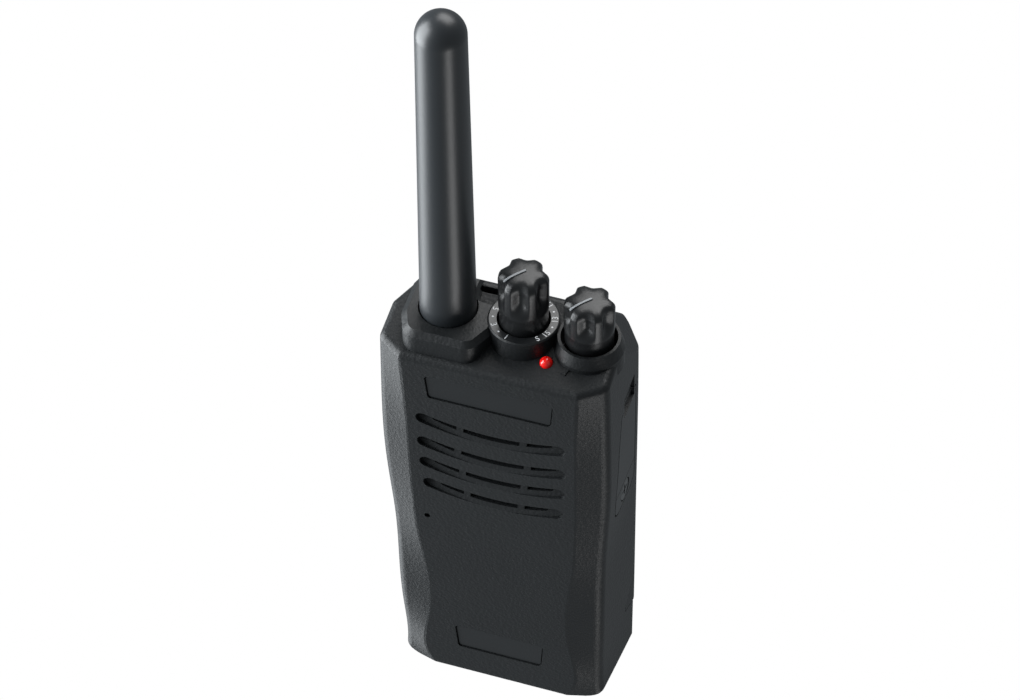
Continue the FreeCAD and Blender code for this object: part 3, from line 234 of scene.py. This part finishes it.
# ---------------------------------------------------------------------------
# Chassis and boards. The frame is cast alloy; two glass-fibre boards stand on
# its posts and carry pressed steel cans, and steel screws hold them.
# ---------------------------------------------------------------------------
def metal(name, dark, light, smooth, rough):
    """Bare metal with a faint drift of tone and polish."""
    material = moulded(name, dark, light, 1500, 0.000004, smooth, rough)
    material.node_tree.nodes["Principled BSDF"].inputs["Metallic"].default_value = 1.0
    return material


cast_alloy = metal("cast_alloy", (0.3, 0.31, 0.32), (0.42, 0.43, 0.44), 0.42, 0.6)
bright_steel = metal("bright_steel", (0.42, 0.42, 0.41), (0.56, 0.56, 0.55), 0.22, 0.38)
board_green = moulded(
    "board_green", (0.004, 0.05, 0.018), (0.006, 0.08, 0.03), 1800, 0.00001, 0.35, 0.5,
)
finish_node("chassis", cast_alloy)
finish_node("shield_cans", bright_steel)
for screws in ("board_screws", "case_screws"):
    finish_node(screws, bright_steel)
for board in ("main_board", "control_board"):
    finish_node(board, board_green)

# ---------------------------------------------------------------------------
# Speaker, dust cloth and microphone. A steel basket with a paper cone sits on a
# foam ring behind the louvres; the capsule sits in a rubber boot.
# ---------------------------------------------------------------------------
dark_cloth = moulded(
    "dark_cloth", (0.0008, 0.0008, 0.0009), (0.0016, 0.0016, 0.0017), 5200, 0.00003, 0.9, 0.98, 0.1,
)
paper_cone = moulded(
    "paper_cone", (0.012, 0.011, 0.010), (0.02, 0.018, 0.016), 3200, 0.00003, 0.8, 0.9, 0.2,
)
seal_grey = moulded(
    "seal_grey", (0.03, 0.03, 0.032), (0.05, 0.05, 0.054), 2600, 0.00001, 0.6, 0.75, 0.3,
)
finish_node("grille_cloth", dark_cloth)
finish_node("speaker_cone", paper_cone)
for soft_part in ("speaker_gasket", "microphone_boot"):
    finish_node(soft_part, seal_grey)
for steel_part in ("speaker_frame", "speaker_magnet", "microphone_capsule"):
    finish_node(steel_part, bright_steel)

# ---------------------------------------------------------------------------
# Name plate and lower badge. Two blank plates of glossy black plastic, bonded
# in their recesses.
# ---------------------------------------------------------------------------
plate_black = moulded(
    "plate_black", (0.008, 0.0088, 0.0095), (0.010, 0.011, 0.012), 900, 0.000002, 0.3, 0.36, 0.5,
)
for plate in ("name_plate", "badge_plate"):
    finish_node(plate, plate_black)

# ---------------------------------------------------------------------------
# Rotary controls. Alloy bodies under the deck, held by brass nuts on their
# bushings, with steel shafts that turn in them and rubber seals round the tops.
# ---------------------------------------------------------------------------
brass = metal("brass", (0.55, 0.38, 0.14), (0.68, 0.48, 0.2), 0.25, 0.42)
for control in ("channel_encoder", "volume_pot"):
    finish_node(control, cast_alloy)
for nut in ("channel_nut", "volume_nut"):
    finish_node(nut, brass)
for shaft in ("channel_shaft", "volume_shaft"):
    finish_node(shaft, bright_steel)
finish_node("shaft_seals", seal_grey)

# ---------------------------------------------------------------------------
# Control knobs. Moulded in black plastic and pushed on the shafts: six narrow
# ribs stand between scooped flutes that fade out half way down, above a plain
# skirt. A raised grey line points from the middle of the top over its shoulder.
# ---------------------------------------------------------------------------
KNOB_RIBS = 6
RIB_HALF = 8.5
SKIRT_SHARE = 0.44
FLUTE_DEEP = 1.5
RIB_TURN = -111
POINTER_TURN = -42
POINTER_LONG = 5.6
POINTER_WIDE = 0.5
POINTER_THICK = 0.3

knob_plastic = moulded(
    "knob_plastic", (0.006, 0.0064, 0.007), (0.009, 0.0095, 0.01), 3400, 0.00001, 0.3, 0.42, 0.4,
)
pointer_grey = moulded(
    "pointer_grey", (0.2, 0.21, 0.22), (0.26, 0.27, 0.28), 3000, 0.000005, 0.4, 0.5,
)


def smooth_step(value):
    """Soft rise from nothing to one."""
    value = min(max(value, 0.0), 1.0)
    return value * value * (3 - 2 * value)


def spun(outline, steps):
    """Form turned about Z from an outline of (radius, level) corners in millimetres."""
    shape = bmesh.new()
    corners = [shape.verts.new((radius * MM, 0, level * MM)) for radius, level in outline]
    line = [shape.edges.new(pair) for pair in zip(corners, corners[1:])]
    bmesh.ops.spin(
        shape, geom=corners + line, cent=(0, 0, 0), axis=(0, 0, 1),
        angle=math.tau, steps=steps, use_merge=True,
    )
    bmesh.ops.remove_doubles(shape, verts=shape.verts, dist=0.000001)
    return shape


def knob_shape(foot, top):
    """Ribbed knob about the Z axis: a spun outline whose flutes are pressed in."""
    tall = top - foot
    skirt = [(5.4, 0.0), (5.55, 0.3), (5.55, tall * 0.15), (5.55, tall * 0.3), (5.55, tall * 0.4)]
    wall = [(5.7, tall * (SKIRT_SHARE + 0.02 * step)) for step in range(20)]
    dome = [(5.72, 0.86), (5.6, 0.9), (5.3, 0.935), (4.8, 0.965), (3.8, 0.985), (2.4, 0.996), (0.0, 1.0)]
    outline = skirt + wall + [(radius, tall * share) for radius, share in dome]
    shape = spun([(radius, foot + level) for radius, level in outline], 240)
    pitch = 360 / KNOB_RIBS
    for vert in shape.verts:
        radius = vert.co.xy.length / MM
        share = (vert.co.z / MM - foot) / tall
        if radius > 0.01 and share > 0.4:
            around = (math.degrees(math.atan2(vert.co.y, vert.co.x)) - RIB_TURN) % pitch
            away = (min(around, pitch - around) - RIB_HALF) / (pitch / 2 - RIB_HALF)
            press = FLUTE_DEEP * math.sin(min(max(away, 0), 1) * math.pi / 2)
            press *= smooth_step((share - SKIRT_SHARE) / 0.26)
            press *= smooth_step((radius - 2.4) / 3.2)
            press *= 1 - 0.45 * smooth_step((share - 0.8) / 0.2)
            vert.co.xy *= (radius - press) / radius
    bmesh.ops.recalc_face_normals(shape, faces=shape.faces)
    return shape


def pointer_shape(top):
    """Raised line along X that follows the dome of a knob."""
    shape = bmesh.new()
    bmesh.ops.create_cube(shape, size=1.0)
    bmesh.ops.subdivide_edges(shape, edges=shape.edges[:], cuts=7, use_grid_fill=True)
    bmesh.ops.scale(shape, vec=Vector((POINTER_LONG, POINTER_WIDE, POINTER_THICK)) * MM, verts=shape.verts)
    bmesh.ops.translate(shape, vec=Vector((2.2, 0, top + 0.1)) * MM, verts=shape.verts)
    for vert in shape.verts:
        vert.co.z -= (abs(vert.co.x) / (4.8 * MM)) ** 3.2 * 0.65 * MM
    turn = Matrix.Rotation(math.radians(POINTER_TURN - 90), 3, "Z")
    bmesh.ops.rotate(shape, cent=(0, 0, 0), matrix=turn, verts=shape.verts)
    return shape


def add_knob(name, node, body, middle, foot, top):
    """Knob and its pointer line, both riding with the control's body."""
    place = Vector((*middle, 0)) * MM
    shape = knob_shape(foot, top)
    bmesh.ops.translate(shape, vec=place, verts=shape.verts)
    for face in shape.faces:
        face.smooth = True
    knob = mesh_object(name, shape)
    knob.data.materials.append(knob_plastic)
    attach(knob, body)
    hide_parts(node)
    mark = pointer_shape(top)
    bmesh.ops.translate(mark, vec=place, verts=mark.verts)
    line = mesh_object(name + "_line", mark)
    line.data.materials.append(pointer_grey)
    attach(line, body)
    finish_node(node, knob_plastic)


CHANNEL_AXIS = (4.2, -2.8)
VOLUME_AXIS = (19.4, -2.5)
add_knob("channel_knob_ribbed", "channel_knob", "channel_control", CHANNEL_AXIS, 118.4, 137.0)
add_knob("volume_knob_ribbed", "volume_knob", "volume_control", VOLUME_AXIS, 117.6, 132.6)

# ---------------------------------------------------------------------------
# Dial ring. A glossy black ring on the channel collar, printed in white with
# numbers at every other of its sixteen positions and dots between them.
# ---------------------------------------------------------------------------
DIAL_TOP = 122.004
MARK_RADIUS = 7.0
MARK_HIGH = 1.4
FIRST_MARK = -16.2
MARK_PITCH = 20
MARKS = 16

print_white = moulded(
    "print_white", (0.72, 0.73, 0.74), (0.8, 0.81, 0.82), 3000, 0.000005, 0.5, 0.6,
)


def printed(text, high, place, turn):
    """Flat letter as a mesh, centred at a place and turned about Z."""
    curve = bpy.data.curves.new("letter", "FONT")
    curve.body = text
    curve.size = high * MM * 1.4
    curve.align_x = "CENTER"
    curve.align_y = "CENTER"
    holder = bpy.data.objects.new("letter", curve)
    scene.collection.objects.link(holder)
    flat = bpy.data.meshes.new_from_object(holder)
    bpy.data.objects.remove(holder)
    flat.transform(Matrix.Translation(Vector(place) * MM) @ Matrix.Rotation(turn, 4, "Z"))
    return flat


marks = bmesh.new()
for step in range(MARKS):
    angle = math.radians(FIRST_MARK - MARK_PITCH * step)
    word = str(step + 1) if step % 2 == 0 else "\u2022"
    if step == MARKS - 1:
        word = "S"
    mark_x = CHANNEL_AXIS[0] + MARK_RADIUS * math.sin(angle)
    mark_y = CHANNEL_AXIS[1] - MARK_RADIUS * math.cos(angle)
    marks.from_mesh(printed(word, MARK_HIGH, (mark_x, mark_y, DIAL_TOP), angle))
dial_marks = mesh_object("dial_marks", marks)
dial_marks.data.materials.append(print_white)
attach(dial_marks, "radio")
finish_node("dial_ring", plate_black)

# ---------------------------------------------------------------------------
# Indicator light. A red lens in the deck over a chip with gilded contacts.
# ---------------------------------------------------------------------------
red_lens = moulded(
    "red_lens", (0.75, 0.008, 0.006), (0.85, 0.014, 0.01), 400, 0.000001, 0.08, 0.14, 0.6,
)
gold_contact = metal("gold_contact", (0.7, 0.5, 0.18), (0.85, 0.62, 0.24), 0.18, 0.3)
finish_node("led_lens", red_lens)
finish_node("led_chip", gold_contact)

# ---------------------------------------------------------------------------
# Antenna. A satin rubber sheath with a slightly tapered wall and a round tip,
# moulded over a brass coil and screwed on its stud.
# ---------------------------------------------------------------------------
ANTENNA_AXIS = (-13.1, -4.2)
SHEATH_FOOT = 117.4
SHEATH_SHOULDER = 121.4
SHEATH_TIP = 210.05
FOOT_RADIUS = 6.43
TIP_RADIUS = 5.65
TIP_RISE = 5.6

antenna_skin = moulded(
    "antenna_skin", (0.014, 0.0165, 0.019), (0.017, 0.0195, 0.022), 1500, 0.000004, 0.34, 0.42, 0.5,
)
sheath_line = [(3.1, SHEATH_FOOT), (6.3, SHEATH_FOOT), (FOOT_RADIUS, SHEATH_FOOT + 0.2)]
sheath_line.append((FOOT_RADIUS, SHEATH_SHOULDER))
for step in range(1, 21):
    share = step / 20
    wall_rise = SHEATH_TIP - TIP_RISE - SHEATH_SHOULDER
    sheath_line.append((
        FOOT_RADIUS - (FOOT_RADIUS - TIP_RADIUS) * share,
        SHEATH_SHOULDER + wall_rise * share,
    ))
for step in range(1, 24):
    lift = math.radians(90 * step / 24)
    sheath_line.append((TIP_RADIUS * math.cos(lift), SHEATH_TIP - TIP_RISE * (1 - math.sin(lift))))
sheath_line.append((0.0, SHEATH_TIP))
sheath_shape = spun(sheath_line, 128)
bmesh.ops.recalc_face_normals(sheath_shape, faces=sheath_shape.faces)
bmesh.ops.translate(sheath_shape, vec=Vector((*ANTENNA_AXIS, 0)) * MM, verts=sheath_shape.verts)
for face in sheath_shape.faces:
    face.smooth = abs(face.normal.z) < 0.99 or face.calc_center_median().z > 0.2
sheath = mesh_object("antenna_sheath_round", sheath_shape)
sheath.data.materials.append(antenna_skin)
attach(sheath, "radio")
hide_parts("antenna_sheath")
finish_node("antenna_sheath", antenna_skin)
for brass_part in ("antenna_ferrule", "antenna_coil"):
    finish_node(brass_part, brass)
finish_node("antenna_contact", gold_contact)
finish_node("antenna_core", seal_grey)

# ---------------------------------------------------------------------------
# Side keys. Three rubber keys in the left flank press switches on the board
# through one thin seal.
# ---------------------------------------------------------------------------
black_rubber = moulded(
    "black_rubber", (0.008, 0.0088, 0.0096), (0.012, 0.0132, 0.0145), 3600, 0.000012, 0.42, 0.5, 0.45,
)
for key in ("ptt_button", "side_key_upper", "side_key_lower"):
    finish_node(key, black_rubber)
for inner_part in ("key_switches", "key_seal"):
    finish_node(inner_part, seal_grey)

# ---------------------------------------------------------------------------
# Accessory jacks. A rubber cover folds over two sockets in a plastic block and
# is held at its foot by one dark screw.
# ---------------------------------------------------------------------------
for cover_part in ("jack_cover", "jack_cover_tab"):
    finish_node(cover_part, black_rubber)
for jack_part in ("jack_block", "jack_cover_screw"):
    finish_node(jack_part, plate_black)

# ---------------------------------------------------------------------------
# Battery pack. Two grained shells welded round a pair of flat cells and their
# board, with gilded contacts in the front wall.
# ---------------------------------------------------------------------------
pack_plastic = moulded(
    "pack_plastic", (0.006, 0.0068, 0.0074), (0.009, 0.0102, 0.011), 2300, 0.000035, 0.42, 0.58, 0.3,
)
cell_wrap = moulded(
    "cell_wrap", (0.02, 0.08, 0.2), (0.03, 0.1, 0.26), 900, 0.000004, 0.3, 0.4,
)
for shell in ("battery_tub", "battery_back"):
    finish_node(shell, pack_plastic)
finish_node("battery_cells", cell_wrap)
finish_node("battery_board", board_green)
for contact in ("battery_contacts", "terminal_springs"):
    finish_node(contact, gold_contact)
finish_node("terminal_block", plate_black)

# ---------------------------------------------------------------------------
# Latch and safety catch. Both are black rubber-coated plastic; the latch stands
# on two steel springs and the catch turns on a steel pin.
# ---------------------------------------------------------------------------
for moving_part in ("release_latch", "safety_catch"):
    finish_node(moving_part, black_rubber)
for steel_part in ("latch_spring", "catch_pin"):
    finish_node(steel_part, bright_steel)
